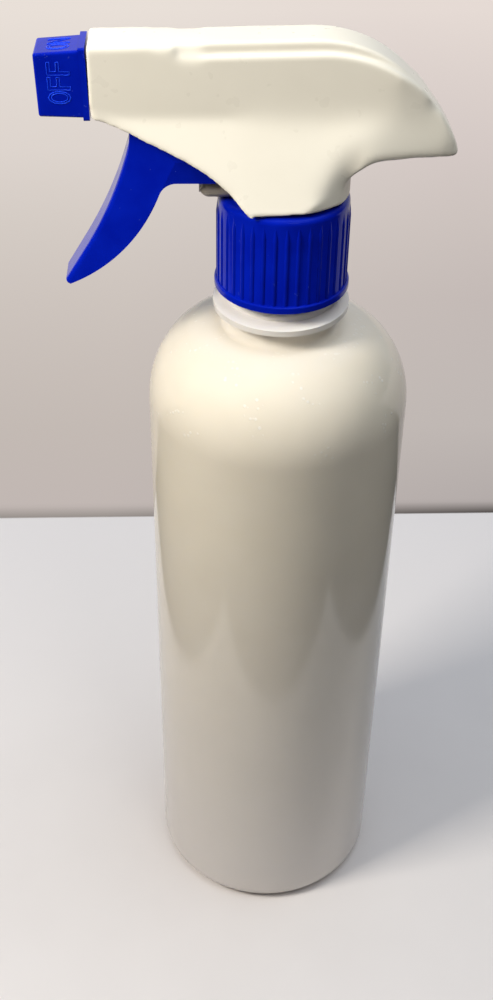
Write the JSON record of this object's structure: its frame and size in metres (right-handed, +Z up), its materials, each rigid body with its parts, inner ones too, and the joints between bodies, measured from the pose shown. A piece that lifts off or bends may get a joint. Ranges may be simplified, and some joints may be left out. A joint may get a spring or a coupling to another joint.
{
  "type": "trigger spray bottle",
  "caption": "Round plastic spray bottle with a screw-on pump head: long trigger, turning rectangular nozzle, cream shroud and a dip tube down to the base.",
  "frame": {"origin": "centre of the bottle's foot, on the surface it stands on", "axes": "+Z up along the bottle's axis; the nozzle and the trigger point along -X; Y runs across the trigger"},
  "size_m": [0.0932, 0.0656, 0.2633],
  "materials": {
    "bottle_cream": "glossy",
    "cover_cream": "semi-gloss",
    "blue": "glossy",
    "natural": "satin",
    "tube": "translucent",
    "seal": "soft",
    "steel": "bright"
  },
  "bodies": {
    "bottle": {"bottle": "bottle_cream"},
    "head": {"pump_body": "natural", "shroud": "cover_cream", "gasket": "seal", "tube_retainer": "natural", "dip_tube": "tube", "swirl_core": "natural", "body_plug": "natural", "piston_spring": "steel", "outlet_spring": "steel"},
    "closure": {"closure": "blue"},
    "trigger": {"trigger": "blue"},
    "piston": {"piston": "natural"},
    "nozzle": {"nozzle_cap": "blue"},
    "inlet_ball": {"inlet_ball": "steel"},
    "outlet_ball": {"outlet_ball": "steel"}
  },
  "joints": [
    {"name": "head_lift", "type": "slide", "parent": "bottle", "child": "head", "axis": [0, 0, 1], "range_m": [0, 0.00634]},
    {"name": "closure_turn", "type": "hinge", "parent": "head", "child": "closure", "pos_m": [0, 0, 0.215], "axis": [0, 0, 1], "range_deg": [0, 540]},
    {"name": "trigger_pull", "type": "hinge", "parent": "head", "child": "trigger", "pos_m": [-0.031, 0, 0.2579], "axis": [0, -1, 0], "range_deg": [0, 18], "stiffness_Nm_per_rad": 0.08, "springref_deg": -22.92},
    {"name": "piston_slide", "type": "slide", "parent": "head", "child": "piston", "axis": [1, 0, 0], "range_m": [0, 0.0076], "deforming": ["piston_spring"]},
    {"name": "nozzle_turn", "type": "hinge", "parent": "head", "child": "nozzle", "pos_m": [-0.04295, 0, 0.25365], "axis": [-0.9997, 0, -0.0227], "continuous": true},
    {"name": "inlet_ball_lift", "type": "slide", "parent": "head", "child": "inlet_ball", "axis": [0, 0, 1], "range_m": [0, 0.0008]},
    {"name": "outlet_ball_lift", "type": "slide", "parent": "head", "child": "outlet_ball", "axis": [0, 0, 1], "range_m": [0, 0.001], "stiffness_N_per_m": 20, "springref_m": -0.003, "deforming": ["outlet_spring"]}
  ],
  "couplings": [
    {"joint": "closure_turn", "follows": "head_lift", "rad_per_m": 1485.4},
    {"joint": "piston_slide", "follows": "trigger_pull", "m_per_rad": 0.0241}
  ]
}
